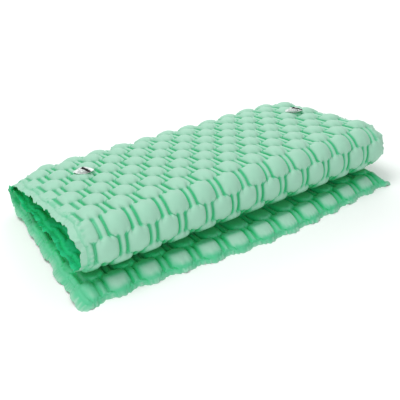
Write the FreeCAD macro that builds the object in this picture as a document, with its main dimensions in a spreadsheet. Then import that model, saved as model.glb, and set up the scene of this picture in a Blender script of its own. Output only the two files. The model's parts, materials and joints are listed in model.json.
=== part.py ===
"""Double inflatable sleeping mat, folded in three like a letter Z.

The mat is one flat pad of two coated sheets, welded together. It is cut here into the stiff lengths
that lie between its fold lines, each one a sleep sheet and a ground sheet:

    base, rear_fold_1, rear_fold_2, middle, front_fold_1 .. front_fold_4, top

+X runs along the fold lines, +Y from the free front edge of the base to the rear fold, +Z is up.
The origin is the middle of the folded mat's footprint, on the floor. Sizes are in millimetres.

Each length has its own frame: local Y runs along the pad from one fold line to the next, local Z is
the sleep side's outward normal, and the two sheets are welded in the plane where local Z is 0.
"""

import FreeCAD
import Part
import Sketcher
import math
import os
from FreeCAD import Placement, Rotation, Vector

DRIVING = {
    "pad_width": 1196.0,  # across the mat, over both weld flanges
    "weld_flange": 13.0,  # flat welded rim outside the outermost air cells
    "film": 0.8,  # thickness of one sheet
    "crown": 23.5,  # height of an air row above the weld plane
    "flattened": 1.0,  # how much higher the base's ground rows are before the floor flattens them
    "row_rise": 2.0,  # straight foot of a row's side, below its arc
    "row_gap": 3.0,  # weld line between two rows
    "fold_margin": 1.5,  # bare sheet between a fold line and the first row
    "fold_gap": 1.2,  # a sheet stops this far from the fold line it turns on
    "base_length": 604.0,
    "base_rows": 9.0,
    "rear_link": 27.7,  # distance between two fold lines of the rear fold
    "rear_turn": 60.0,  # degrees turned at each fold line of the rear fold
    "rear_inner_crown": 11.0,
    "middle_length": 493.0,
    "middle_rows": 8.0,
    "front_link": 39.0,
    "front_turn": 37.5,
    "front_inner_crown": 15.0,
    "top_length": 505.0,
    "top_rows": 8.0,
    "link_rows": 1.0,
    "valve_from_fold": 303.6,  # along the top panel, from its last fold line to the valves
    "left_valve_x": -405.0,
    "right_valve_x": 478.0,
    "left_strap_turn": -80.0,  # degrees from +X to the pull strap, seen from above
    "right_strap_turn": -72.0,
    "pocket_radius": 34.0,  # flat round seat formed in the sleep sheet under a valve
    "seat_height": 17.0,
    "valve_hole_radius": 13.3,
    "port_radius": 10.0,  # bore that takes the pump's nozzle
    "port_depth": 11.0,
    "chamber_radius": 11.0,  # wider bore below it, which holds the check insert
    "neck_radius": 13.0,
    "neck_height": 9.0,
    "body_depth": 9.0,  # how far the valve body reaches below its seat
    "flange_radius": 26.0,
    "flange_thick": 1.2,
    "insert_radius": 10.95,
    "insert_thick": 2.0,
    "window_radius": 2.9,
    "window_circle": 5.6,
    "window_count": 4.0,
    "stem_hole_radius": 1.4,
    "membrane_radius": 8.8,
    "membrane_thick": 0.6,
    "stem_radius": 1.1,
    "barb_radius": 1.9,
    "barb_height": 1.2,
    "barb_lift": 1.5,  # free length of the stem above the insert
    "cap_radius": 16.2,
    "cap_clearance": 1.0,  # between the neck and the cap's skirt
    "cap_foot": 1.6,  # height of the skirt's lower edge above the seat
    "cap_thick": 1.6,
    "cap_lift": 0.3,  # between the neck's rim and the underside of the cap
    "tab_thick": 1.2,
    "tab_width": 12.0,
    "hinge_radius": 19.4,  # from the valve's axis to the cap's hinge line
    "foot_length": 2.6,
    "foot_gap": 1.0,  # bare film hinge between the cap's tab and its foot
    "strap_width": 8.5,
    "strap_thick": 1.5,
    "strap_start": 6.5,  # how far the strap reaches behind the valve's axis
    "strap_bend": 17.0,
    "strap_reach": 36.0,
    "strap_drop": 3.6,
    "stud_radius": 4.5,
    "stud_height": 3.2,
    "touch_gap": 0.1,
}

doc = FreeCAD.newDocument("sleeping_mat")
sheet = doc.addObject("Spreadsheet::Sheet", "sizes")
for line, (alias, value) in enumerate(DRIVING.items(), start=1):
    sheet.set(f"A{line}", alias)
    sheet.set(f"B{line}", str(value))
    sheet.setAlias(f"B{line}", alias)
doc.recompute()


def bind(thing, prop, formula):
    """Ties a property to the sheet. $word in a formula is the cell of that name."""
    thing.setExpression(prop, formula.replace("$", "sizes."))


def worked_out(formula):
    """The number that a formula gives with the sheet's values."""
    result = sheet.evalExpression(formula.replace("$", ""))
    return float(getattr(result, "Value", result))


# ------------------------------------------------------------------ sketches and features


def new_body(label, placement):
    body = doc.addObject("PartDesign::Body", label)
    body.Label = label
    body.Placement = placement
    return body


def new_sketch(body, name, plane, height="0"):
    """A sketch on one of the body's own origin planes, lifted along that plane's normal."""
    sketch = body.newObject("Sketcher::SketchObject", f"{body.Label}_{name}")
    support = [f for f in body.Origin.OriginFeatures if f.Role == plane]
    sketch.AttachmentSupport = [(support[0], "")]
    sketch.MapMode = "FlatFace"
    bind(sketch, "AttachmentOffset.Base.z", f"({height}) * 1 mm")
    return sketch


def dimension(sketch, kind, where, formula):
    """A driving dimension between the given elements, bound to the sheet."""
    start = worked_out(formula)
    index = sketch.addConstraint(Sketcher.Constraint(kind, *where, start))
    bind(sketch, f"Constraints[{index}]", f"({formula}) * 1 mm")


def rule(sketch, kind, *where):
    sketch.addConstraint(Sketcher.Constraint(kind, *where))


def line(sketch, a, b):
    return sketch.addGeometry(Part.LineSegment(Vector(*a, 0), Vector(*b, 0)), False)


def arc(sketch, a, through, b):
    return sketch.addGeometry(Part.Arc(Vector(*a, 0), Vector(*through, 0), Vector(*b, 0)), False)


def outline(sketch, corners):
    """A closed polygon. Each corner is a pair of formulas, and is dimensioned from the origin."""
    points = [(worked_out(x), worked_out(y)) for x, y in corners]
    edges = [line(sketch, p, points[(k + 1) % len(points)]) for k, p in enumerate(points)]
    for k, edge in enumerate(edges):
        rule(sketch, "Coincident", edge, 2, edges[(k + 1) % len(edges)], 1)
        place_point(sketch, edge, 1, *corners[k])


def place_point(sketch, edge, end, x, y):
    """Holds a point at formulas x and y. A zero needs no dimension: the point lies on that axis."""
    if worked_out(x) == 0:
        rule(sketch, "PointOnObject", edge, end, -2)
    else:
        dimension(sketch, "DistanceX", (-1, 1, edge, end), x)
    if worked_out(y) == 0:
        rule(sketch, "PointOnObject", edge, end, -1)
    else:
        dimension(sketch, "DistanceY", (-1, 1, edge, end), y)


def circle(sketch, x, y, radius):
    centre = Vector(worked_out(x), worked_out(y), 0)
    ring = sketch.addGeometry(Part.Circle(centre, Vector(0, 0, 1), worked_out(radius)), False)
    dimension(sketch, "Radius", (ring,), radius)
    place_point(sketch, ring, 3, x, y)


def feature(body, kind, name, sketch, **settings):
    made = body.newObject(f"PartDesign::{kind}", f"{body.Label}_{name}")
    made.Profile = sketch
    for key, setting in settings.items():
        setattr(made, key, setting)
    return made


def pad(body, name, sketch, length, both_ways=False):
    made = feature(body, "Pad", name, sketch, Midplane=both_ways)
    bind(made, "Length", f"({length}) * 1 mm")
    return made


def pocket(body, name, sketch, length, both_ways=False, upwards=False):
    """Cuts length away, and makes sure that something was cut."""
    doc.recompute()
    before = body.Shape.Volume
    made = feature(body, "Pocket", name, sketch, Midplane=both_ways, Reversed=upwards)
    bind(made, "Length", f"({length}) * 1 mm")
    doc.recompute()
    if body.Shape.Volume > before - 0.1:
        raise RuntimeError(f"{made.Name} cuts nothing")
    return made


def rows_of(body, made, sketch, pitch, count):
    """Repeats a feature along local Y, once for each air row of the length."""
    if worked_out(count) < 2:
        return made
    rows = body.newObject("PartDesign::LinearPattern", f"{made.Name}_rows")
    rows.Originals = [made]
    rows.Direction = (sketch, ["H_Axis"])
    bind(rows, "Length", f"({pitch}) * ({count} - 1) * 1 mm")
    bind(rows, "Occurrences", count)
    body.Tip = rows
    return rows


def turned(body, name, profile):
    """A round piece, from half of its section: pairs of radius and height."""
    sketch = new_sketch(body, f"{name}_section", "XZ_Plane")
    outline(sketch, profile)
    made = feature(body, "Revolution", name, sketch, Angle=360.0)
    made.ReferenceAxis = (sketch, ["V_Axis"])
    return made


# ------------------------------------------------------------------ the pad's lengths


def row_profile(body, name, side, centre, half_width, rise, crown):
    """Section of one air row: straight feet, then an arc. side is 1 for the sleep sheet, else -1."""
    sketch = new_sketch(body, name, "YZ_Plane")
    middle = worked_out(centre)
    half = worked_out(half_width)
    foot = worked_out(rise) * side
    top = worked_out(crown) * side
    left = line(sketch, (middle - half, 0), (middle - half, foot))
    roof = arc(sketch, (middle - half, foot), (middle, top), (middle + half, foot))
    right = line(sketch, (middle + half, foot), (middle + half, 0))
    floor = line(sketch, (middle + half, 0), (middle - half, 0))
    low, high = (1, 2) if side < 0 else (2, 1)  # an arc's first end is where its angle starts
    rule(sketch, "Coincident", left, 2, roof, low)
    rule(sketch, "Coincident", roof, high, right, 1)
    rule(sketch, "Coincident", right, 2, floor, 1)
    rule(sketch, "Coincident", floor, 2, left, 1)
    rule(sketch, "Vertical", left)
    rule(sketch, "Vertical", right)
    rule(sketch, "Equal", left, right)
    place_point(sketch, left, 1, f"({centre}) - ({half_width})", "0")
    place_point(sketch, right, 2, f"({centre}) + ({half_width})", "0")
    dimension(sketch, "DistanceY", (left, 1, left, 2) if side > 0 else (left, 2, left, 1), rise)
    height = f"(({crown}) - ({rise}))"
    dimension(sketch, "Radius", (roof,), f"(({half_width})^2 + {height}^2) / (2 * {height})")
    return sketch


def formed_sheet(label, placement, side, length, rows, crown, near, far, flat="0"):
    """One sheet of one length: a bare strip with hollow air rows, closed at both ends.

    near and far say how far the strip reaches past its two ends, where it has a weld flange, or
    stops short of them, where the pad folds. flat presses the crowns of the rows flat.
    """
    body = new_body(label, placement)
    strip = new_sketch(body, "strip_profile", "YZ_Plane")
    face = f"{side} * $film"
    outline(strip, [(f"-({near})", "0"), (f"{length} + ({far})", "0"),
                    (f"{length} + ({far})", face), (f"-({near})", face)])
    pad(body, "strip", strip, "$pad_width", both_ways=True)

    pitch = f"(({length}) - 2 * $fold_margin) / {rows}"
    half = f"(({pitch}) - $row_gap) / 2"
    centre = f"$fold_margin + ({pitch}) / 2"
    outer = row_profile(body, "row_profile", side, centre, half, "$row_rise", f"{crown} + {flat}")
    row = pad(body, "row", outer, "$pad_width - 2 * $weld_flange", both_ways=True)
    rows_of(body, row, outer, pitch, rows)
    inner = row_profile(body, "air_profile", side, centre, f"({half}) - $film", "$row_rise",
                        f"{crown} - $film")
    air = pocket(body, "air", inner, "$pad_width - 2 * $weld_flange - 2 * $film", both_ways=True)
    rows_of(body, air, inner, pitch, rows)
    if worked_out(flat) > 0:
        press = new_sketch(body, "press_profile", "YZ_Plane")
        low, high = f"{side} * {crown}", f"{side} * ({crown} + 2 * {flat})"
        outline(press, [("-$row_gap", high), (f"{length} + $row_gap", high),
                        (f"{length} + $row_gap", low), ("-$row_gap", low)])
        pocket(body, "press", press, "$pad_width", both_ways=True)
    return body


def length_frame(y, z, turn):
    return Placement(Vector(0, y, z), Rotation(Vector(1, 0, 0), turn))


LENGTHS = [
    # name, length, rows, sleep side crown, ground side crown, turn at its start
    ("base", "$base_length", "$base_rows", "$crown", "$crown", "0"),
    ("rear_fold_1", "$rear_link", "$link_rows", "$rear_inner_crown", "$crown", "$rear_turn"),
    ("rear_fold_2", "$rear_link", "$link_rows", "$rear_inner_crown", "$crown", "$rear_turn"),
    ("middle", "$middle_length", "$middle_rows", "$crown", "$crown", "$rear_turn"),
    ("front_fold_1", "$front_link", "$link_rows", "$crown", "$front_inner_crown", "-$front_turn"),
    ("front_fold_2", "$front_link", "$link_rows", "$crown", "$front_inner_crown", "-$front_turn"),
    ("front_fold_3", "$front_link", "$link_rows", "$crown", "$front_inner_crown", "-$front_turn"),
    ("front_fold_4", "$front_link", "$link_rows", "$crown", "$front_inner_crown", "-$front_turn"),
    ("top", "$top_length", "$top_rows", "$crown", "$crown", "-$front_turn"),
]

# The footprint runs from the tip of the base's front flange to the back of the rear fold, where
# the round ground row of a rear link stands furthest out.
rear_turn = math.radians(worked_out("$rear_turn"))
row_half = worked_out("$rear_link / 2 - $fold_margin - $row_gap / 2")
row_height = worked_out("$crown - $row_rise")
row_radius = (row_half**2 + row_height**2) / (2 * row_height)
row_centre = worked_out("$crown") - row_radius
rear_out = (worked_out("$rear_link / 2") * math.cos(rear_turn)
            + row_centre * math.sin(rear_turn) + row_radius)
depth = worked_out("$weld_flange + $base_length") + rear_out
y = worked_out("$weld_flange") - depth / 2
z = worked_out("$crown")
turn = 0.0
frames = {}
joint_lines = {}
for name, length, rows, sleep_crown, ground_crown, turn_by in LENGTHS:
    turn += worked_out(turn_by)
    frames[name] = length_frame(y, z, turn)
    joint_lines[name] = (y, z)
    near = "$weld_flange" if name == "base" else "-$fold_gap"
    far = "$weld_flange" if name == "top" else "-$fold_gap"
    flat = "$flattened" if name == "base" else "0"
    formed_sheet(f"{name}_sleep_sheet", frames[name], 1, length, rows, sleep_crown, near, far)
    formed_sheet(f"{name}_ground_sheet", frames[name], -1, length, rows, ground_crown, near, far,
                 flat)
    y += worked_out(length) * math.cos(math.radians(turn))
    z += worked_out(length) * math.sin(math.radians(turn))

# ------------------------------------------------------------------ valve seats in the top panel

VALVE_Y = "$valve_from_fold"
VALVE_XS = ("$left_valve_x", "$right_valve_x")


def valve_circles(body, name, radius, height="0"):
    sketch = new_sketch(body, name, "XY_Plane", height)
    for x in VALVE_XS:
        circle(sketch, x, VALVE_Y, radius)
    return sketch


top_sheet = doc.getObject("top_sleep_sheet")
clearing = valve_circles(top_sheet, "clearing_circles", "$pocket_radius", "$film")
pocket(top_sheet, "clearing", clearing, "2 * $crown", upwards=True)
seat = valve_circles(top_sheet, "seat_circles", "$pocket_radius")
pad(top_sheet, "seat", seat, "$seat_height")
hollow = valve_circles(top_sheet, "hollow_circles", "$pocket_radius - $film")
pocket(top_sheet, "hollow", hollow, "$seat_height - $film", upwards=True)
hole = valve_circles(top_sheet, "hole_circles", "$valve_hole_radius")
pocket(top_sheet, "hole", hole, "2 * $seat_height", upwards=True)

# ------------------------------------------------------------------ valves


def valve_frame(x, strap_turn):
    """On the seat, with local Z up the valve's axis and local X along its pull strap."""
    place = Vector(worked_out(x), worked_out(VALVE_Y), worked_out("$seat_height"))
    facing = Rotation(Vector(0, 0, 1), worked_out(strap_turn))
    return frames["top"].multiply(Placement(place, facing))


def valve_body(label, frame):
    """Clear weld flange with the neck and its stepped bore."""
    body = new_body(label, frame)
    turned(body, "body", [
        ("$port_radius", "$neck_height - $port_depth"),
        ("$chamber_radius", "$neck_height - $port_depth"),
        ("$chamber_radius", "-$body_depth"),
        ("$neck_radius", "-$body_depth"),
        ("$neck_radius", "0"),
        ("$flange_radius", "0"),
        ("$flange_radius", "$flange_thick"),
        ("$neck_radius", "$flange_thick"),
        ("$neck_radius", "$neck_height"),
        ("$port_radius", "$neck_height"),
    ])


def check_insert(label, frame):
    """Round grid at the bottom of the bore, with air windows and a hole for the membrane's stem."""
    body = new_body(label, frame)
    disc = new_sketch(body, "disc_circle", "XY_Plane", "-$body_depth")
    circle(disc, "0", "0", "$insert_radius")
    pad(body, "disc", disc, "$insert_thick")
    stem_hole = new_sketch(body, "stem_circle", "XY_Plane", "-$body_depth")
    circle(stem_hole, "0", "0", "$stem_hole_radius")
    pocket(body, "stem_hole", stem_hole, "$insert_thick", upwards=True)
    window_circle = new_sketch(body, "window_circle", "XY_Plane", "-$body_depth")
    circle(window_circle, "$window_circle", "0", "$window_radius")
    window = pocket(body, "window", window_circle, "$insert_thick", upwards=True)
    windows = body.newObject("PartDesign::PolarPattern", f"{label}_windows")
    windows.Originals = [window]
    windows.Axis = (window_circle, ["N_Axis"])
    windows.Angle = 360.0
    bind(windows, "Occurrences", "$window_count")
    body.Tip = windows


def check_membrane(label, frame):
    """Soft disc under the insert, held by a barbed stem through its hub."""
    body = new_body(label, frame)
    face = "-$body_depth - $touch_gap"
    barb = "$insert_thick - $body_depth + $barb_lift"
    turned(body, "membrane", [
        ("0", f"{face} - $membrane_thick"),
        ("$membrane_radius", f"{face} - $membrane_thick"),
        ("$membrane_radius", face),
        ("$stem_radius", face),
        ("$stem_radius", barb),
        ("$barb_radius", barb),
        ("$stem_radius", f"{barb} + $barb_height"),
        ("0", f"{barb} + $barb_height"),
    ])


def valve_cap(label, frame):
    """Clear cap whose skirt drops over the neck, with the tab that it turns on."""
    body = new_body(label, frame)
    under = "$neck_height + $cap_lift"
    skirt = "$neck_radius + $cap_clearance"
    turned(body, "cap", [
        ("0", under),
        (skirt, under),
        (skirt, "$cap_foot"),
        ("$cap_radius", "$cap_foot"),
        ("$cap_radius", f"{under} + $cap_thick"),
        ("0", f"{under} + $cap_thick"),
    ])
    tab = new_sketch(body, "tab_outline", "XY_Plane", "$cap_foot")
    root = "-($neck_radius + $cap_clearance + $cap_thick)"
    half = "$tab_width / 2"
    outline(tab, [(root, f"-{half}"), (root, half), ("-$hinge_radius", half),
                  ("-$hinge_radius", f"-{half}")])
    pad(body, "tab", tab, "$tab_thick")


def hinge_foot(label, frame):
    """Block on the flange that the cap's film hinge is moulded to."""
    body = new_body(label, frame)
    outer = new_sketch(body, "foot_outline", "XY_Plane", "$flange_thick")
    near = "-($hinge_radius + $foot_gap)"
    far = "-($hinge_radius + $foot_gap + $foot_length)"
    half = "$tab_width / 2"
    outline(outer, [(near, f"-{half}"), (near, half), (far, half), (far, f"-{half}")])
    pad(body, "foot", outer, "$cap_foot + $tab_thick - $flange_thick")


def strap_height(extra="0"):
    return f"$neck_height + $cap_lift + $cap_thick + {extra}"


def pull_strap(label, frame):
    """Black strap on the cap, straight over it and drooping beyond its edge."""
    body = new_body(label, frame)
    side = new_sketch(body, "side", "XZ_Plane")
    low = strap_height()
    high = strap_height("$strap_thick")
    outline(side, [("-$strap_start", low), ("$strap_bend", low),
                   ("$strap_reach", f"{low} - $strap_drop"),
                   ("$strap_reach", f"{high} - $strap_drop"), ("$strap_bend", high),
                   ("-$strap_start", high)])
    pad(body, "strap", side, "$strap_width", both_ways=True)


def strap_stud(label, frame):
    """Domed stud that fastens the strap to the cap."""
    body = new_body(label, frame)
    foot = strap_height("$strap_thick")
    turned(body, "stud", [
        ("0", foot),
        ("$stud_radius", foot),
        ("$stud_radius", f"{foot} + $stud_height * 0.45"),
        ("$stud_radius * 0.7", f"{foot} + $stud_height * 0.9"),
        ("0", f"{foot} + $stud_height"),
    ])


VALVE_PIECES = (
    ("valve_body", valve_body),
    ("check_insert", check_insert),
    ("check_membrane", check_membrane),
    ("valve_cap", valve_cap),
    ("cap_hinge_foot", hinge_foot),
    ("pull_strap", pull_strap),
    ("strap_stud", strap_stud),
)
for hand, x, strap_turn in (("left", VALVE_XS[0], "$left_strap_turn"),
                            ("right", VALVE_XS[1], "$right_strap_turn")):
    frame = valve_frame(x, strap_turn)
    for piece, make in VALVE_PIECES:
        make(f"{hand}_{piece}", frame)

# ------------------------------------------------------------------ checks, then the files

doc.recompute()
failed = [o.Label for o in doc.Objects if "Invalid" in o.State or "Error" in o.State]
if failed:
    raise RuntimeError(f"these objects failed: {failed}")
bodies = [o for o in doc.Objects if o.TypeId == "PartDesign::Body"]
for body in bodies:
    if body.Shape.isNull() or not body.Shape.isValid() or len(body.Shape.Solids) != 1:
        raise RuntimeError(f"{body.Label} isn't one valid solid")
os.makedirs("parts", exist_ok=True)
for body in bodies:
    body.Shape.exportStep(f"parts/{body.Label}.step")

whole = FreeCAD.BoundBox()
for body in bodies:
    whole.add(body.Shape.BoundBox)
print(f"{len(bodies)} nodes, X {whole.XMin:.1f} .. {whole.XMax:.1f}, "
      f"Y {whole.YMin:.1f} .. {whole.YMax:.1f}, Z {whole.ZMin:.2f} .. {whole.ZMax:.1f}")
for name, (line_y, line_z) in joint_lines.items():
    print(f"{name}: starts at y {line_y:.3f}, z {line_z:.3f}")
for hand, x, strap_turn in (("left", VALVE_XS[0], "$left_strap_turn"),
                            ("right", VALVE_XS[1], "$right_strap_turn")):
    frame = valve_frame(x, strap_turn)
    hinge_height = "$cap_foot + $tab_thick / 2"
    hinge = frame.multVec(Vector(-worked_out("$hinge_radius"), 0, worked_out(hinge_height)))
    print(f"{hand} valve: seat {frame.Base}, cap hinge at {hinge}, "
          f"cap axis {frame.Rotation.multVec(Vector(0, -1, 0))}, "
          f"port axis {frame.Rotation.multVec(Vector(0, 0, 1))}")
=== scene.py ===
"""Double inflatable sleeping mat, folded in three.

The mat is two coated fabric sheets welded together in a lattice of straight welds. The sheets are
inflated flat, as a pressed cloth whose weld points are held, and then wrapped onto the line that the
folded mat's middle follows. They are cut halfway between fold lines, so that one piece lies over
each fold line.
"""
import json
import math

import bpy
import numpy as np
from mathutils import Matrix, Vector


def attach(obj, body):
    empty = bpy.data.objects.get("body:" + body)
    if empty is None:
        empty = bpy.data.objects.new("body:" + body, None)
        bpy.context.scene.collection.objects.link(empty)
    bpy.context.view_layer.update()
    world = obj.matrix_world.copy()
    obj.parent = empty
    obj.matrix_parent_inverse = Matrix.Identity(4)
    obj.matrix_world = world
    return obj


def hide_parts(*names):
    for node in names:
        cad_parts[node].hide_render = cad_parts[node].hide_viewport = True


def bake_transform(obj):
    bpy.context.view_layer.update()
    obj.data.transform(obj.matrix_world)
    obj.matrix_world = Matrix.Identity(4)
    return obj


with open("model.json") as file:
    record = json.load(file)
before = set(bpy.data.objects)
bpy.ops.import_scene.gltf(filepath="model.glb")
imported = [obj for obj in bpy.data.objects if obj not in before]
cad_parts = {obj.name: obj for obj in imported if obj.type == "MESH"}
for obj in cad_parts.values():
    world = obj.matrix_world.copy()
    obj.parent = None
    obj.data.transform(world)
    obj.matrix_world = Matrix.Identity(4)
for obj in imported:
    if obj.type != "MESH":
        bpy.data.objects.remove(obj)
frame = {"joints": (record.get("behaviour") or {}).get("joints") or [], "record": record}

MM = 0.001
RNG = np.random.default_rng(41)


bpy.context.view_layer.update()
JOINTS = {j["name"]: j for j in frame["joints"]}

# ------------------------------------------------------------------ camera, floor and light


def aim(obj, place, towards):
    obj.location = place
    obj.rotation_euler = (Vector(towards) - Vector(place)).to_track_quat("-Z", "Y").to_euler()


def add(name, data):
    obj = bpy.data.objects.new(name, data)
    bpy.context.scene.collection.objects.link(obj)
    return obj


CAMERA = Vector((-1.058, -1.460, 1.035))
camera = add("camera", bpy.data.cameras.new("camera"))
camera.data.lens = 54
camera.data.sensor_width = 36
camera.data.clip_start = 0.05
aim(camera, CAMERA, CAMERA + Vector((0.494, 0.708, -0.5045)))
bpy.context.scene.camera = camera
bpy.context.scene.view_settings.view_transform = "Standard"


def lamp(name, place, towards, watts, size):
    data = bpy.data.lights.new(name, "AREA")
    data.energy = watts
    data.size = size
    aim(add(name, data), place, towards)


lamp("key_light", (-1.5, 0.9, 4.4), (0.2, 0.2, 0.1), 118, 2.2)
lamp("front_light", (-2.0, -3.0, 1.1), (0.0, 0.0, 0.1), 36, 2.2)
lamp("backdrop_light", (2.6, 3.6, 2.6), (2.8, 4.0, 0.0), 150, 3.5)

world = bpy.data.worlds.new("studio")
bpy.context.scene.world = world
world.use_nodes = True
background = world.node_tree.nodes["Background"]
background.inputs["Color"].default_value = (0.94, 1.0, 0.97, 1.0)
background.inputs["Strength"].default_value = 0.56

# ------------------------------------------------------------------ the weld lattice, millimetres

PITCH = 47.25  # between neighbouring chains of cells, across the mat
NECK_WIDE = 21.0  # between the two welds beside a neck
FLAT_SHARE = 1.16  # width of the sheet before it is inflated, over its width after
NECK_COLS, GAP_COLS = 8, 9
CHAINS = 24
LEFT_SEAM = -570.5

ROW = 64.0  # between rows of welds, along the mat
WELD_LONG = 55.0
GAP_FLAT = 9.5  # length of sheet between two rows of welds, which inflating draws in to ROW - WELD_LONG
WELD_ROWS, GAP_ROWS = 14, 4
ROWS = 29

FLANGE = {"left": (18.0, 6), "right": (24.0, 7), "front": (8.0, 5), "rear": (16.0, 6)}


def steps(start, parts):
    """Running positions from start: each part is a length and how many steps it is cut into."""
    out = [start]
    for length, count in parts:
        out += [out[-1] + length / count * (k + 1) for k in range(count)]
    return np.array(out)


gap_wide = PITCH - NECK_WIDE
across = steps(LEFT_SEAM, [(NECK_WIDE, NECK_COLS), (gap_wide, GAP_COLS)] * CHAINS)
across_flat = steps(0.0, [(PITCH * FLAT_SHARE / (NECK_COLS + GAP_COLS), 1)] * (len(across) - 1))
gap_long = ROW - WELD_LONG
along = steps(0.0, [(gap_long, GAP_ROWS), (WELD_LONG, WELD_ROWS)] * ROWS + [(gap_long, GAP_ROWS)])
along_flat = steps(0.0, [(GAP_FLAT, GAP_ROWS), (WELD_LONG, WELD_ROWS)] * ROWS
                   + [(GAP_FLAT, GAP_ROWS)])
welded = np.zeros((len(along), len(across)), bool)
for row in range(ROWS):
    first = row * (GAP_ROWS + WELD_ROWS) + GAP_ROWS
    for chain in range(CHAINS):
        if (chain - 1 + row) % 2 == 0:
            for side in (0, NECK_COLS):
                col = chain * (NECK_COLS + GAP_COLS) + side
                outer = max(col - 1, 0) if side == 0 else col
                welded[first:first + WELD_ROWS + 1, outer:outer + 2] = True


PRESSURE = 0.45  # millimetres that the air adds to a point's step, once it is fully on
RAMP, HEAD_START = 40, 10  # steps over which it comes on, and how many of them are skipped
DAMPING = 0.86  # share of a point's step that it keeps for the next one
SWEEPS = 2  # over all the threads, at each step
SHEAR = 0.35  # stiffness of the diagonals, where a thread's is 1


def inflate(pts, u, v, held, count):
    """Presses a cloth upwards, away from its held points. u and v are the places of its columns
    and rows on the flat sheet."""
    free = (~held).astype(np.float32)
    du, dv = np.diff(u).astype(np.float32), np.diff(v).astype(np.float32)

    def pull(a, b, fa, fb, rest, stiff):
        gap = b - a
        size = np.sqrt(np.einsum("ijk,ijk->ij", gap, gap)) + 1e-9
        share = (size - rest) / size / np.maximum(fa + fb, 1e-9) * stiff
        gap *= share[..., None]
        a += fa[..., None] * gap
        b -= fb[..., None] * gap

    speed = np.zeros_like(pts)
    for step in range(count):
        gx, gy = np.empty_like(pts), np.empty_like(pts)
        gx[:, 1:-1] = pts[:, 2:] - pts[:, :-2]
        gx[:, 0], gx[:, -1] = pts[:, 1] - pts[:, 0], pts[:, -1] - pts[:, -2]
        gy[1:-1] = pts[2:] - pts[:-2]
        gy[0], gy[-1] = pts[1] - pts[0], pts[-1] - pts[-2]
        out = np.cross(gx, gy)
        out /= np.sqrt(np.einsum("ijk,ijk->ij", out, out))[..., None] + 1e-9
        speed = speed * DAMPING + PRESSURE * min(1.0, (step + HEAD_START) / RAMP) * out
        before = pts.copy()
        pts += speed * free[..., None]
        for _ in range(SWEEPS):
            for odd in (0, 1):
                n = len(du[odd::2])
                pull(pts[:, odd:odd + 2 * n:2], pts[:, odd + 1:odd + 1 + 2 * n:2],
                     free[:, odd:odd + 2 * n:2], free[:, odd + 1:odd + 1 + 2 * n:2],
                     du[odd::2][None, :], 1.0)
                n = len(dv[odd::2])
                pull(pts[odd:odd + 2 * n:2], pts[odd + 1:odd + 1 + 2 * n:2],
                     free[odd:odd + 2 * n:2], free[odd + 1:odd + 1 + 2 * n:2],
                     dv[odd::2][:, None], 1.0)
            for odd in (0, 1):
                n = len(dv[odd::2])
                low, high = slice(odd, odd + 2 * n, 2), slice(odd + 1, odd + 1 + 2 * n, 2)
                rest = np.sqrt(du[None, :] ** 2 + dv[odd::2][:, None] ** 2)
                for turn in (0, 1):
                    near, far = slice(turn, -1, 2), slice(turn + 1, None, 2)
                    width = rest[:, turn::2]
                    pull(pts[low, near], pts[high, far], free[low, near], free[high, far],
                         width, SHEAR)
                    pull(pts[low, far], pts[high, near], free[low, far], free[high, near],
                         width, SHEAR)
        np.maximum(pts[..., 2], 0, out=pts[..., 2])
        speed = pts - before
    return pts


# the lattice repeats every two rows and two chains; a patch of three repeats each way settles first
PER_COL, PER_ROW = 2 * (NECK_COLS + GAP_COLS), 2 * (GAP_ROWS + WELD_ROWS)
PATCH_STEPS = 160
SHEET_STEPS = 17  # too few to settle fully, which keeps the cells' shoulders soft
patch_rows, patch_cols = slice(0, 3 * PER_ROW + 1), slice(0, 3 * PER_COL + 1)
patch_held = welded[patch_rows, patch_cols].copy()
patch_held[[0, -1]] = True
patch_held[:, [0, -1]] = True
patch = np.zeros(patch_held.shape + (3,), np.float32)
patch[..., 0], patch[..., 1] = across[patch_cols], along[patch_rows, None]
patch[..., 2] = np.where(patch_held, 0, 2 + 0.6 * RNG.random(patch_held.shape))
patch = inflate(patch, across_flat[patch_cols], along_flat[patch_rows], patch_held, PATCH_STEPS)
unit = patch[PER_ROW:2 * PER_ROW, PER_COL:2 * PER_COL].copy()
unit[..., 0] -= across[PER_COL:2 * PER_COL]
unit[..., 1] -= along[PER_ROW:2 * PER_ROW, None]

# the whole sheet starts as copies of the patch's middle
n_rows, n_cols = welded.shape
tile = np.ix_(np.arange(n_rows) % PER_ROW, np.arange(n_cols) % PER_COL)
whole = unit[tile].copy()
whole[..., 0] += across
whole[..., 1] += along[:, None]


def ripple(a, b, waves, seed):
    """Smooth noise, about -1 .. 1, over two coordinates in millimetres."""
    rng = np.random.default_rng(seed)
    total = 0.0
    for _ in range(5):
        direction = rng.uniform(0, 2 * math.pi)
        wave = rng.uniform(0.7, 1.4) * 2 * math.pi / waves
        total = total + np.sin((a * math.cos(direction) + b * math.sin(direction)) * wave
                               + rng.uniform(0, 2 * math.pi))
    return total / 2.6


held = welded.copy()
held[[0, -1]] = True
held[:, [0, -1]] = True
WANDER = 0.9  # of the welds from their regular places
UNEVEN = 0.6  # of the threads' places on the flat sheet
whole[..., 0] += WANDER * ripple(across[None, :], along[:, None], 160, 1)
whole[..., 1] += WANDER * ripple(across[None, :], along[:, None], 170, 2)
whole[held, 2] = 0
wide = across_flat + UNEVEN * ripple(across, 0 * across, 90, 3)
long = along_flat + UNEVEN * ripple(along, 0 * along, 80, 4)
sheet = inflate(whole, wide, long, held, SHEET_STEPS)

# ------------------------------------------------------------------ from flat to folded

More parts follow.
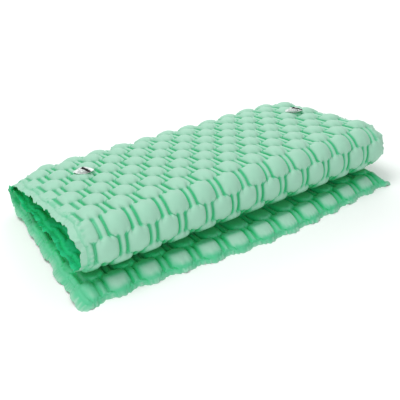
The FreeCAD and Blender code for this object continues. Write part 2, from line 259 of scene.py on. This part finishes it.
# the line that the folded mat's middle follows: length of mat, length of line, turn in degrees
BASE, REAR, MIDDLE, TOP_FLAT, DROOP = 594.0, 84.0, 262.0, 373.0, 130.0
SAG, UNDER, CURL, FACE, BROW = 80.0, 113.0, 67.0, 82.0, 80.0  # round the front roll, from below
LINE_START = (-314.0, 23.5)
LINE = [(BASE, BASE, 0), (REAR, 74.2, 180), (MIDDLE, MIDDLE, 0), (SAG, 80, 9), (UNDER, 111, 0),
        (CURL, 68, -58.5), (FACE, 84.5, -67), (BROW, 80.5, -71), (TOP_FLAT, 371.9, 0), (DROOP, 126, -16)]
MAT_LONG = along[-1]
REAR_END = BASE + REAR
FRONT_START = REAR_END + MIDDLE + SAG + UNDER
FRONT_END = FRONT_START + CURL + FACE + BROW
FINE = 0.5  # step along the line
SOFT = 16.0  # length over which a bend begins


def follow_line():
    """The middle line in fine steps: place along the mat, y, z and turn in radians."""
    turn = np.concatenate([np.full(round(mat / FINE), bend / mat) for mat, run, bend in LINE])
    rate = np.concatenate([np.full(round(mat / FINE), run / mat) for mat, run, bend in LINE])
    k = int(SOFT / FINE)
    turn, rate = (np.convolve(np.pad(a, k, "edge"), np.ones(k) / k, "same")[k:-k]
                  for a in (turn, rate))
    angle = np.radians(np.append(0, np.cumsum(turn * FINE)))
    half = (angle[1:] + angle[:-1]) / 2
    line_y = LINE_START[0] + np.append(0, np.cumsum(np.cos(half) * rate * FINE))
    line_z = LINE_START[1] + np.append(0, np.cumsum(np.sin(half) * rate * FINE))
    return np.arange(len(angle)) * FINE, line_y, line_z, angle


LINE_AT, LINE_Y, LINE_Z, LINE_TURN = follow_line()


def smooth(a, low, high):
    t = np.clip((a - low) / (high - low), 0, 1)
    return t * t * (3 - 2 * t)


def between(a, low, high, ease):
    """1 from low to high, easing to 0 outside."""
    return smooth(a, low - ease, low) * (1 - smooth(a, high, high + ease))


def limited(height, most):
    """Presses heights softly below most."""
    return height / (1 + (np.abs(height) / most) ** 6) ** (1 / 6)


def branch(low, high):
    """The middle line between two places along the mat, in order of y: its y and z."""
    part = (LINE_AT > low) & (LINE_AT < high)
    order = np.argsort(LINE_Y[part])
    return LINE_Y[part][order], LINE_Z[part][order]


# how high a cell may stand over the mat's middle
FREE = 60.0  # more than any cell does
LEAST = 8.0
MEETING = 20.5  # where cells pass over others while the mat is unfolded
UNDERNEATH = 14.5  # between the base and the bottom of the roll
TUCKED = 14.0  # under the top's rear end
INSIDE_REAR, INSIDE_FRONT = 12.0, 21.0  # on the inner sides of the two folds
CLEAR = 0.4  # left between cells that meet
FAR = 4 * FREE  # a gap as good as open
ROLL_SINKS = 7.0  # that the roll's weight lowers the base's middle
OPEN_ABOVE = (225.0, 262.0)  # distances in front of the origin where the base comes out from under
PASSED = (105.0, 150.0)  # places along the base up to which other cells pass over it
PRESSED_BASE = (52.0, 114.0, 26.0)  # first and last place pressed by the roll, and the ease outside
PRESSED_ROLL = (FRONT_START - 25, FRONT_START + 62, 22.0)
REAR_FLAP = 90.0  # length at the top's rear end where cells are tucked under
FRONTMOST = LINE_AT[np.argmin(np.where(LINE_AT > FRONT_START, LINE_Y, np.inf))]
LOWER_Y, LOWER_Z = branch(REAR_END, FRONTMOST)
UPPER_Y, UPPER_Z = branch(FRONTMOST, MAT_LONG)


def pressed(y):
    """How far the roll's weight lowers the base's middle."""
    return ROLL_SINKS * between(y, -200, -150, 80)


def room(at, side):
    """How high a cell may stand on the sleep side (1) or the ground side (-1) of the mat: half of
    the gap to the panel that it faces, and less where panels pass or press on each other."""
    y, z, turn = (np.interp(at, LINE_AT, a) for a in (LINE_Y, LINE_Z, LINE_TURN))
    tilt = np.maximum(np.abs(np.cos(turn)), 0.1)
    if side > 0:
        over_base = np.interp(y, LOWER_Y, LOWER_Z, left=LOWER_Z[0] + FAR)
        over_base = over_base + FAR * smooth(-y, *OPEN_ABOVE)
        gap = np.where(at < BASE, over_base - z, np.where(at < FRONTMOST, z - LINE_START[1], FAR))
        gap = gap + pressed(y)
        gap = np.where(at > FRONT_START, gap + FAR * smooth(at, FRONT_START + 40, FRONTMOST), gap)
        most = np.clip(gap / 2 / tilt - CLEAR, LEAST, FREE)
        passing = np.maximum(1 - smooth(at, *PASSED), between(at, FRONT_START, FRONT_END - BROW, 25))
        most = np.where(passing > 0, np.minimum(most, FREE + (MEETING - FREE) * passing ** 0.2), most)
        under = np.maximum(between(at, *PRESSED_BASE), between(at, *PRESSED_ROLL))
        most = np.where(under > 0, np.minimum(most, MEETING + (UNDERNEATH - MEETING) * under), most)
        inner, tight = between(at, BASE, REAR_END, 30), INSIDE_REAR
    else:
        above = np.interp(y, UPPER_Y, UPPER_Z)
        below = np.interp(y, LOWER_Y, LOWER_Z)
        gap = np.where(at < BASE, FAR, above - below)
        most = np.clip(gap / 2 / tilt - CLEAR, LEAST, FREE)
        most = np.where((at > BASE - 30) & (at < REAR_END + 30), MEETING, most)
        most = np.where(at > MAT_LONG - REAR_FLAP, np.minimum(most, TUCKED), most)
        inner, tight = between(at, FRONT_START + 10, FRONT_END - 10, 40), INSIDE_FRONT
    return most * (1 - inner) + np.minimum(most, tight) * inner


FRONT_BOW, BOW_WAVE, BOW_PEAK = 18.0, 1080.0, -480.0  # of the base's front edge, seen from above
EDGE_SCALLOP, EDGE_DROP = 3.5, 13.0  # of that edge at each cell, and down to the floor
BASE_SPREAD, BASE_SHIFT = 0.025, -22.0  # of the base across, against the middle
SWELL = 1.6  # slow unevenness of the top
CORNER_OUT, CORNER_DROP = 34.0, 12.0  # of the top's left rear corner
END_RISE = 0.18  # share that the left end of the rear fold rises
FLOOR_GAP = 3.0  # height below which points settle towards the floor


def wrapped(x, at, height):
    """Places points on the folded mat: across it, along it and out from its middle."""
    inner = np.clip(at, 0, MAT_LONG)
    turn = np.interp(inner, LINE_AT, LINE_TURN)
    y = np.interp(inner, LINE_AT, LINE_Y) + (at - inner) * np.cos(turn) - height * np.sin(turn)
    z = np.interp(inner, LINE_AT, LINE_Z) + (at - inner) * np.sin(turn) + height * np.cos(turn)
    z = z - np.where(at < BASE, pressed(y), 0)
    bow = 1 - smooth(at, 0, 360)
    front_edge = 1 - smooth(at, -5, 45)
    cell = np.cos(2 * math.pi * (x - LEFT_SEAM - NECK_WIDE / 2) / (2 * PITCH))
    y = y + bow * (2 + FRONT_BOW * np.cos(2 * math.pi * (x - BOW_PEAK) / BOW_WAVE))
    y = y - front_edge * (3 + EDGE_SCALLOP * cell)
    z = z - EDGE_DROP * front_edge * (1 - 0.15 * cell)
    base = 1 - smooth(at, 0, REAR_END)
    x = x + base * (BASE_SPREAD * x + BASE_SHIFT)
    z = z + SWELL * smooth(at, FRONT_START - 60, FRONT_END) * ripple(x, at, 420, 5)
    corner = smooth(at, MAT_LONG - 110, MAT_LONG) * smooth(-x, 470, 590)
    y = y - CORNER_OUT * corner
    z = z - CORNER_DROP * corner
    z = z * (1 + END_RISE * smooth(-x, 480, 590) * between(at, BASE - 20, REAR_END + 20, 80))
    z = np.where(z < FLOOR_GAP, FLOOR_GAP * np.exp(np.minimum(z - FLOOR_GAP, 0) / FLOOR_GAP), z)
    return np.stack([x, y, z], -1) * MM


# ------------------------------------------------------------------ the welded rim


def rim(name):
    """Distances of the rim's lines of points from its seam."""
    width, count = FLANGE[name]
    return np.arange(1, count + 1) / count * width


left, right, front, rear = (rim(name) for name in ("left", "right", "front", "rear"))
full = np.pad(sheet, ((len(front), len(rear)), (len(left), len(right)), (0, 0)), "edge")
out_x = np.concatenate([-left[::-1], np.zeros(n_cols), right])[None, :]
out_y = np.concatenate([-front[::-1], np.zeros(n_rows), rear])[:, None]
wide_x = np.where(out_x < 0, FLANGE["left"][0], FLANGE["right"][0])
wide_y = np.where(out_y < 0, FLANGE["front"][0], FLANGE["rear"][0])
away = np.sqrt((out_x / wide_x) ** 2 + (out_y / wide_y) ** 2)  # 0 at the seam, 1 at the edge
rounded = 1 / np.maximum(away, 1) ** 0.85  # keeps the corners round
across_full, along_full = full[..., 0], full[..., 1]
scallop = (1 + 0.12 * ripple(across_full, along_full, 45, 6)) * rounded
across_full = across_full + out_x * scallop
along_full = along_full + out_y * scallop
away = np.minimum(away, 1)


def folds(a, waves, seed):
    """Sharp-backed folds along one coordinate, about -1 .. 1, with uneven lengths."""
    rng = np.random.default_rng(seed)
    drift = sum(0.9 * np.sin(a * 2 * math.pi / waves / rng.uniform(2.5, 6) + rng.uniform(0, 6.3))
                for _ in range(3))
    tall = 0.75 + 0.25 * np.sin(a * 2 * math.pi / waves / rng.uniform(3, 5) + rng.uniform(0, 6.3))
    return tall * (1 - 2 * np.abs(np.sin(a * math.pi / waves + drift)))


def pleats(waves, seed):
    """Fine folds that run away from the seam: uneven along it, but even across it."""
    down_sides = folds(along_full, waves, seed)
    down_ends = folds(across_full, waves, seed + 50)
    ends = smooth(np.abs(out_y) / wide_y - np.abs(out_x) / wide_x, -0.3, 0.3)
    ends = np.where(away > 0, ends, nearer_end)
    return down_sides * (1 - ends) + down_ends * ends


side_gap = np.minimum(across_full - LEFT_SEAM, across[-1] - across_full)
end_gap = np.minimum(along_full, MAT_LONG - along_full)
nearer_end = smooth(side_gap - end_gap, -6, 6)
inside = np.clip(np.minimum(side_gap, end_gap), 0, None)  # from the seam inwards
on_base = 1 - smooth(along_full, BASE - 60, BASE + 20)
on_front, on_rear = smooth(-out_y, 0, 4), smooth(out_y, 0, 4)
on_left = smooth(-out_x, 0, 4)
fine_folds = pleats(17, 9)

# the rim's height over the mat's middle: slow waves, folds, fine folds and how it hangs
ruffle = (away ** 1.3 * (4.0 + 3 * on_rear) * ripple(across_full, along_full, 62, 7)
          + away ** 0.8 * 3.6 * pleats(31, 8)
          + np.minimum(away * 2, 1) * (1.3 + 0.9 * on_left) * fine_folds)
ruffle = ruffle - away ** 1.4 * (7 * on_base + 3) - 3 * away * on_front + 3 * on_rear * away

# folds that draw the front and the left edge in and out, and a tuft at the rear edge
FRONT_NOTCH, LEFT_NOTCH, LEFT_CRUMPLE = 2.6, 1.8, 3.2
TUFT, TUFT_AT, TUFT_WIDE = 19.0, -165.0, 42.0
along_full = along_full + FRONT_NOTCH * away * on_front * folds(across_full, 19, 31)
across_full = across_full + LEFT_NOTCH * away * on_left * (1 - on_base) * folds(along_full, 27, 33)
ruffle = ruffle + LEFT_CRUMPLE * away * on_left * (1 - on_base) * folds(along_full, 41, 35)
ruffle = ruffle + TUFT * away * on_rear * np.exp(-((across_full - TUFT_AT) / TUFT_WIDE) ** 2)

# creases that run from the seam into the outer cells
PUCKER, PUCKER_REACH = 3.4, 14.0
pucker = PUCKER * np.exp(-inside / PUCKER_REACH) * (1 - np.exp(-inside / 3)) * pleats(19, 12)
RIM_HALF = 0.25  # half the thickness of the two welded sheets, which come together at the edge
rim_thick = np.where(away < 1, RIM_HALF, 0)

# ------------------------------------------------------------------ flat seats for the valves

MOUNTS = {m["name"]: m for m in frame["record"]["mounts"]}
TALL = 24.0  # of a cell's top over the middle of the mat
SEAT_HEIGHT = 16.6  # of the sheet under a valve, over the middle of the mat
SEAT_REACH = (24.0, 37.0)  # flat to the first, then easing up to the second


def valve_seat(side):
    """Where a valve stands on the flat mat: across it and along it."""
    port = np.array(MOUNTS[side + "_inflation_port"]["pos_m"]) / MM
    on_top = LINE_AT > FRONT_END
    miss = (LINE_Y - port[1]) ** 2 + (LINE_Z - port[2]) ** 2
    return port[0], LINE_AT[np.argmin(np.where(on_top, miss, np.inf))]


height = full[..., 2]
painted_shade_cover = 1 - smooth(along_full, FRONT_START - 20, FRONTMOST + 10)  # painted shade: the lengths that lie folded inside are coloured deeper green
painted_shade_cover = painted_shade_cover * (0.85 + 0.15 * smooth(along_full, 0, 85))  # but the front edge is out in the light
PAINTED_SHADE_LOSS = 0.52  # share of its paleness that a length folded inside loses to the painted shade

# the tone that the fabric's colours follow, 0 at the welds to 1 at a cell's top: painted shade at the
# welds, painted highlight on the tops
LEAST_PAINTED_TONE, RIM_PAINTED_TONE, SEAM_PAINTED_TONE = 0.22, 0.27, 0.24
heights, painted_light_tone_at = {}, {}
for side in (1, -1):
    lift = limited(np.maximum(height + np.where(away > 0, 0, pucker), 0), room(along_full, side))
    if side > 0:
        for name in ("left", "right"):
            seat_x, seat_at = valve_seat(name)
            reach = np.hypot(across_full - seat_x, along_full - seat_at)
            flat = 1 - smooth(reach, *SEAT_REACH)
            lift = lift * (1 - flat) + SEAT_HEIGHT * flat
    else:
        lift = lift * (1 + 0.03 * ripple(across_full, along_full, 90, 10))
    heights[side] = side * (lift + rim_thick) + np.where(away > 0, ruffle, 0)
    # painted shade and highlight on the rim: paler towards its edge, deeper green in the hollows of its
    # fine folds
    painted_light_tone = np.where(away > 0, RIM_PAINTED_TONE + 0.3 * away + 0.1 * fine_folds,
                      np.clip(lift / TALL, LEAST_PAINTED_TONE, 1))
    # the band along the seam is kept pale, out of the deepest painted shade
    painted_light_tone = np.maximum(painted_light_tone, SEAM_PAINTED_TONE * np.exp(-inside / 5))
    # painted shade on the sleep side of the lengths folded inside
    painted_light_tone_at[side] = painted_light_tone * (1 - PAINTED_SHADE_LOSS * painted_shade_cover * (side > 0))
points = {side: wrapped(across_full, along_full, heights[side]) for side in (1, -1)}


def grid_normals(pts):
    out = np.cross(np.gradient(pts, axis=1), np.gradient(pts, axis=0))
    return out / (np.linalg.norm(out, axis=2, keepdims=True) + 1e-12)


normals = {side: grid_normals(points[side]) * side for side in (1, -1)}

# ------------------------------------------------------------------ materials


def material(name, colour, roughness):
    """A material with its shader, ready for nodes: (material, nodes, links, shader)."""
    made = bpy.data.materials.new(name)
    made.use_nodes = True
    nodes, links = made.node_tree.nodes, made.node_tree.links
    shader = nodes["Principled BSDF"]
    shader.inputs["Base Color"].default_value = (*colour, 1)
    shader.inputs["Roughness"].default_value = roughness
    return made, nodes, links, shader


SHADE_STOPS = (0.0, 0.1, 0.3)  # of the painted light tone, less the painted shade that the ambient occlusion takes away


def coated_fabric(name, shades, gloss):
    """Thin woven fabric with a matt coating, with painted light in its colour: painted highlight, paler
    towards the cells' tops, and painted shade, deeper green at the welds, in creases and on lengths
    folded inside; fine threads, slight clouding and a soft sheen. shades: colours from the welds to the
    tops of the cells."""
    made, nodes, links, shader = material(name, shades[-1], 0.55)
    painted_light_tone = nodes.new("ShaderNodeAttribute")
    painted_light_tone.attribute_name = "painted_light_tone"
    place = nodes.new("ShaderNodeTexCoord")
    clouds = nodes.new("ShaderNodeTexNoise")
    clouds.inputs["Scale"].default_value = 14.0
    clouds.inputs["Detail"].default_value = 4.0
    links.new(place.outputs["Object"], clouds.inputs["Vector"])
    shift = nodes.new("ShaderNodeMapRange")
    shift.inputs["To Min"].default_value = -0.12
    shift.inputs["To Max"].default_value = 0.12
    links.new(clouds.outputs["Fac"], shift.inputs["Value"])
    total = nodes.new("ShaderNodeMath")
    total.operation = "ADD"
    links.new(painted_light_tone.outputs["Fac"], total.inputs[0])
    links.new(shift.outputs["Result"], total.inputs[1])
    # painted shade: ambient occlusion darkens the colour in creases, between folded layers and under the
    # roll
    painted_shade_occlusion = nodes.new("ShaderNodeAmbientOcclusion")
    painted_shade_occlusion.samples = 8
    painted_shade_occlusion.inputs["Distance"].default_value = 0.12
    share = nodes.new("ShaderNodeMapRange")
    share.inputs["From Min"].default_value = 0.3
    share.inputs["From Max"].default_value = 0.9
    links.new(painted_shade_occlusion.outputs["AO"], share.inputs["Value"])
    painted_light_fac = nodes.new("ShaderNodeMath")
    painted_light_fac.operation = "MULTIPLY"
    links.new(total.outputs[0], painted_light_fac.inputs[0])
    links.new(share.outputs["Result"], painted_light_fac.inputs[1])
    ramp = nodes.new("ShaderNodeValToRGB")
    ramp.color_ramp.interpolation = "EASE"
    ramp.color_ramp.elements.new(SHADE_STOPS[1])
    for stop, position, shade in zip(ramp.color_ramp.elements, SHADE_STOPS, shades):
        stop.position = position
        stop.color = (*shade, 1)
    links.new(painted_light_fac.outputs[0], ramp.inputs["Fac"])
    links.new(ramp.outputs["Color"], shader.inputs["Base Color"])
    weave_bump(nodes, links, shader)
    shader.inputs["Sheen Weight"].default_value = 0.4 * gloss
    shader.inputs["Sheen Roughness"].default_value = 0.6
    shader.inputs["Specular IOR Level"].default_value = gloss
    return made


WEAVE = 0.0007  # metres between threads


def weave_bump(nodes, links, shader):
    """Threads both ways, from the flat sheet's own measure."""
    measure = nodes.new("ShaderNodeUVMap")
    measure.uv_map = "flat_sheet"
    split = nodes.new("ShaderNodeSeparateXYZ")
    links.new(measure.outputs["UV"], split.inputs["Vector"])
    waves = []
    for axis in ("X", "Y"):
        turns = nodes.new("ShaderNodeMath")
        turns.operation = "MULTIPLY"
        turns.inputs[1].default_value = 2 * math.pi / WEAVE
        links.new(split.outputs[axis], turns.inputs[0])
        wave = nodes.new("ShaderNodeMath")
        wave.operation = "SINE"
        links.new(turns.outputs[0], wave.inputs[0])
        waves.append(wave)
    both = nodes.new("ShaderNodeMath")
    both.operation = "MULTIPLY"
    links.new(waves[0].outputs[0], both.inputs[0])
    links.new(waves[1].outputs[0], both.inputs[1])
    bump = nodes.new("ShaderNodeBump")
    bump.inputs["Strength"].default_value = 0.12
    bump.inputs["Distance"].default_value = 0.0002
    links.new(both.outputs[0], bump.inputs["Height"])
    links.new(bump.outputs["Normal"], shader.inputs["Normal"])


# colours from painted shade at the welds to painted highlight on the cells' tops
SLEEP_SHADES = ((0.001, 0.52, 0.17), (0.08, 0.49, 0.26), (0.31, 0.58, 0.435))
GROUND_SHADES = ((0.001, 0.52, 0.15), (0.003, 0.54, 0.19), (0.02, 0.57, 0.25))
FABRIC = {1: coated_fabric("sleep_side_fabric", SLEEP_SHADES, 0.35),
          -1: coated_fabric("ground_side_fabric", GROUND_SHADES, 0.15)}

# ------------------------------------------------------------------ the mat's pieces

LENGTHS = ["base", "rear_fold_1", "rear_fold_2", "middle",
           "front_fold_1", "front_fold_2", "front_fold_3", "front_fold_4", "top"]
HINGE = {j["child"]: np.array(j["pos_m"][1:]) / MM for j in frame["joints"] if j["child"] in LENGTHS}
ROW_AT = out_y[:, 0] + np.concatenate([0 * front, along, 0 * rear + MAT_LONG])


def row_beside(point, low, high):
    """The row of the grid where the middle line, between two places, is nearest to (y, z)."""
    miss = (LINE_Y - point[0]) ** 2 + (LINE_Z - point[1]) ** 2
    at = LINE_AT[np.argmin(np.where((LINE_AT > low) & (LINE_AT < high), miss, np.inf))]
    return int(np.argmin(np.abs(ROW_AT - at)))


def cuts(children, low, high):
    """Rows halfway between fold lines, and as far beyond the first and the last one."""
    lines = [HINGE[child] for child in children]
    half = np.linalg.norm(lines[1] - lines[0]) / 2
    heading = [np.array([math.cos(a), math.sin(a)]) for a in
               (np.interp(low, LINE_AT, LINE_TURN), np.interp(high, LINE_AT, LINE_TURN))]
    marks = [lines[0] - half * heading[0]]
    marks += [(a + b) / 2 for a, b in zip(lines, lines[1:])]
    marks += [lines[-1] + half * heading[1]]
    return [row_beside(mark, low, high) for mark in marks]


def cloth_piece(name, side, first, last):
    """The sheet on one side of the mat, between two rows."""
    block = points[side][first:last + 1]
    rows, cols = block.shape[:2]
    index = np.arange(rows * cols).reshape(rows, cols)
    corners = [index[:-1, :-1], index[:-1, 1:], index[1:, 1:], index[1:, :-1]]
    quads = np.stack(corners if side > 0 else corners[::-1], -1).reshape(-1, 4)
    mesh = bpy.data.meshes.new(name)
    mesh.vertices.add(rows * cols)
    mesh.vertices.foreach_set("co", block.reshape(-1).astype(np.float32))
    mesh.loops.add(quads.size)
    mesh.loops.foreach_set("vertex_index", quads.reshape(-1).astype(np.int32))
    mesh.polygons.add(len(quads))
    mesh.polygons.foreach_set("loop_start", np.arange(len(quads), dtype=np.int32) * 4)
    mesh.update(calc_edges=True)
    mesh.polygons.foreach_set("use_smooth", np.ones(len(quads), bool))
    flat = np.stack(np.broadcast_arrays(across_full, along_full), -1)[first:last + 1] * MM
    layer = mesh.uv_layers.new(name="flat_sheet")
    layer.data.foreach_set("uv", flat.reshape(-1, 2)[quads.reshape(-1)].reshape(-1).astype(np.float32))
    tone = mesh.attributes.new("painted_light_tone", "FLOAT", "POINT")
    tone.data.foreach_set("value", painted_light_tone_at[side][first:last + 1].reshape(-1).astype(np.float32))
    mesh.materials.append(FABRIC[side])
    mesh.validate()
    mesh.normals_split_custom_set_from_vertices(
        normals[side][first:last + 1].reshape(-1, 3).astype(np.float32))
    piece = add(name, mesh)
    return piece


SHEET = {1: "sleep_sheet", -1: "ground_sheet"}


def bending(child, first, last):
    """The two sheets between two rows, where they bend over the fold line between two lengths."""
    for side in (1, -1):
        piece = cloth_piece(f"{child}_bend_{SHEET[side]}", side, first, last)
        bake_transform(piece)
        if child not in ("middle", "top"):
            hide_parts(f"{child}_{SHEET[side]}")


def rigid(body, first, last):
    for side in (1, -1):
        piece = cloth_piece(f"{body}_{SHEET[side]}_cloth", side, first, last)
        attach(piece, body)
        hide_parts(f"{body}_{SHEET[side]}")


rear_rows = cuts(LENGTHS[1:4], BASE - 40, REAR_END + 40)
front_rows = cuts(LENGTHS[4:], FRONT_START - 40, FRONT_END + 40)
print("rows at the folds", [float(round(ROW_AT[row])) for row in rear_rows + front_rows])
rigid("base", 0, rear_rows[0])
rigid("middle", rear_rows[-1], front_rows[0])
rigid("top", front_rows[-1], len(ROW_AT) - 1)
for chain in ((rear_rows, LENGTHS[:4]), (front_rows, LENGTHS[3:])):
    for (first, last), (parent, child) in zip(zip(chain[0], chain[0][1:]), zip(chain[1], chain[1][1:])):
        bending(child, first, last)

# ------------------------------------------------------------------ valves


def moulded(name, colour, roughness, grain, depth):
    """Moulded plastic or rubber: gloss that varies a little, and a fine grain."""
    made, nodes, links, shader = material(name, colour, roughness)
    place = nodes.new("ShaderNodeTexCoord")
    noise = nodes.new("ShaderNodeTexNoise")
    noise.inputs["Scale"].default_value = grain
    noise.inputs["Detail"].default_value = 3.0
    links.new(place.outputs["Object"], noise.inputs["Vector"])
    gloss = nodes.new("ShaderNodeMapRange")
    gloss.inputs["To Min"].default_value = roughness - 0.1
    gloss.inputs["To Max"].default_value = roughness + 0.1
    links.new(noise.outputs["Fac"], gloss.inputs["Value"])
    links.new(gloss.outputs["Result"], shader.inputs["Roughness"])
    bump = nodes.new("ShaderNodeBump")
    bump.inputs["Strength"].default_value = 0.3
    bump.inputs["Distance"].default_value = depth
    links.new(noise.outputs["Fac"], bump.inputs["Height"])
    links.new(bump.outputs["Normal"], shader.inputs["Normal"])
    return made, shader


clear, clear_shader = moulded("clear_soft_plastic", (0.92, 0.95, 0.94), 0.22, 260, 0.0003)
clear_shader.inputs["Transmission Weight"].default_value = 0.35
clear_shader.inputs["IOR"].default_value = 1.5
frosted, frosted_shader = moulded("frosted_plastic", (0.86, 0.89, 0.88), 0.45, 500, 0.0001)
frosted_shader.inputs["Transmission Weight"].default_value = 0.2
silicone, silicone_shader = moulded("white_silicone", (0.88, 0.89, 0.87), 0.4, 700, 0.0001)
silicone_shader.inputs["Subsurface Weight"].default_value = 0.3
silicone_shader.inputs["Subsurface Scale"].default_value = 0.002
rubber, rubber_shader = moulded("black_soft_rubber", (0.006, 0.007, 0.007), 0.7, 900, 0.0002)
rubber_shader.inputs["Specular IOR Level"].default_value = 0.2
FINISH = {"valve_body": clear, "check_insert": frosted, "check_membrane": silicone,
          "valve_cap": clear, "cap_hinge_foot": clear, "pull_strap": rubber, "strap_stud": rubber}


def finish_node(node, made):
    obj = bpy.data.objects[node]
    for place in obj.material_slots:
        place.material = made
    if not obj.material_slots:
        obj.data.materials.append(made)


for side in ("left", "right"):
    for part, made in FINISH.items():
        finish_node(f"{side}_{part}", made)

# the clear film round each valve, welded to the sheet and creased by it
FILM_INNER, FILM_OUTER = 20.0, 32.5  # radii
FILM_THICK = 0.4
FILM_CREASE = 0.9  # height of its creases
FILM_DROP = -3.5  # of the seat under the middle of the port's bore
FILM_RINGS, FILM_SPOKES = 14, 168
CREST = 200.0  # degrees from +X to where the film stands proudest


def welded_film(side):
    """A creased ring that stands up from the valve's flange, but lies flat beside the cap's hinge."""
    port = np.array(MOUNTS[side + "_inflation_port"]["pos_m"]) / MM
    axis = np.array(MOUNTS[side + "_inflation_port"]["axis"])
    along_x = np.cross([0, 1, 0], axis)
    along_x /= np.linalg.norm(along_x)
    along_y = np.cross(axis, along_x)
    turn = np.linspace(0, 2 * math.pi, FILM_SPOKES, endpoint=False)[None, :]
    part = np.linspace(0, 1, FILM_RINGS)[:, None]
    seed = 61 if side == "left" else 71
    edge = 1 + 0.035 * folds(turn * 25, 11, seed) * part
    radius = (FILM_INNER + (FILM_OUTER - FILM_INNER) * part) * edge
    creases = (folds(turn * 24 + 6 * part, 9.4, seed + 1)
               + 0.6 * folds(turn * 24 - 9 * part, 6.3, seed + 2))
    to_hinge = np.array(JOINTS[side + "_cap_hinge"]["pos_m"]) / MM - port
    hinge_turn = math.atan2(to_hinge @ along_y, to_hinge @ along_x)
    clear_of_cap = 1 - smooth(np.cos(turn - hinge_turn), 0.15, 0.6)
    lift = np.minimum(part * 3, 1) * (0.7 + FILM_CREASE * creases)
    lift = lift + part ** 2 * (2.6 + 2.6 * np.cos(turn - math.radians(CREST)) + np.sin(3 * turn + seed))
    lift = 1.5 + lift * clear_of_cap
    centre = port + axis * FILM_DROP
    place = (centre + (radius * np.cos(turn))[..., None] * along_x
             + (radius * np.sin(turn))[..., None] * along_y + lift[..., None] * axis)
    top = place * MM
    bottom = (place - FILM_THICK * axis) * MM
    verts = np.concatenate([top.reshape(-1, 3), bottom.reshape(-1, 3)])
    index = np.arange(FILM_RINGS * FILM_SPOKES).reshape(FILM_RINGS, FILM_SPOKES)
    step = np.roll(index, -1, axis=1)
    low = len(index.reshape(-1))
    over = np.stack([index[:-1], index[1:], step[1:], step[:-1]], -1).reshape(-1, 4)
    under = over[:, ::-1] + low
    hems = [np.stack([a[row], b[row], b[row] + low, a[row] + low], -1)
            for row, a, b in ((0, index, step), (-1, step, index))]
    mesh = bpy.data.meshes.new(side + "_welded_film")
    mesh.from_pydata(verts.tolist(), [], np.concatenate([over, under, *hems]).tolist())
    mesh.polygons.foreach_set("use_smooth", np.ones(len(mesh.polygons), bool))
    mesh.materials.append(crinkled)
    piece = add(side + "_welded_film", mesh)
    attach(piece, "top")


crinkled, crinkled_shader = moulded("creased_clear_film", (0.93, 0.96, 0.95), 0.2, 420, 0.0006)
crinkled_shader.inputs["Transmission Weight"].default_value = 0.15
crinkled_shader.inputs["Coat Weight"].default_value = 0.3
for side in ("left", "right"):
    welded_film(side)

# ------------------------------------------------------------------ floor

FLOOR = 30.0  # metres from the middle to an edge
floor_mesh = bpy.data.meshes.new("floor")
floor_mesh.from_pydata([(-FLOOR, -FLOOR, 0), (FLOOR, -FLOOR, 0), (FLOOR, FLOOR, 0), (-FLOOR, FLOOR, 0)],
                       [], [(0, 1, 2, 3)])
floor = add("floor", floor_mesh)
floor_mesh.materials.append(material("pale_floor", (0.96, 0.96, 0.96), 0.8)[0])
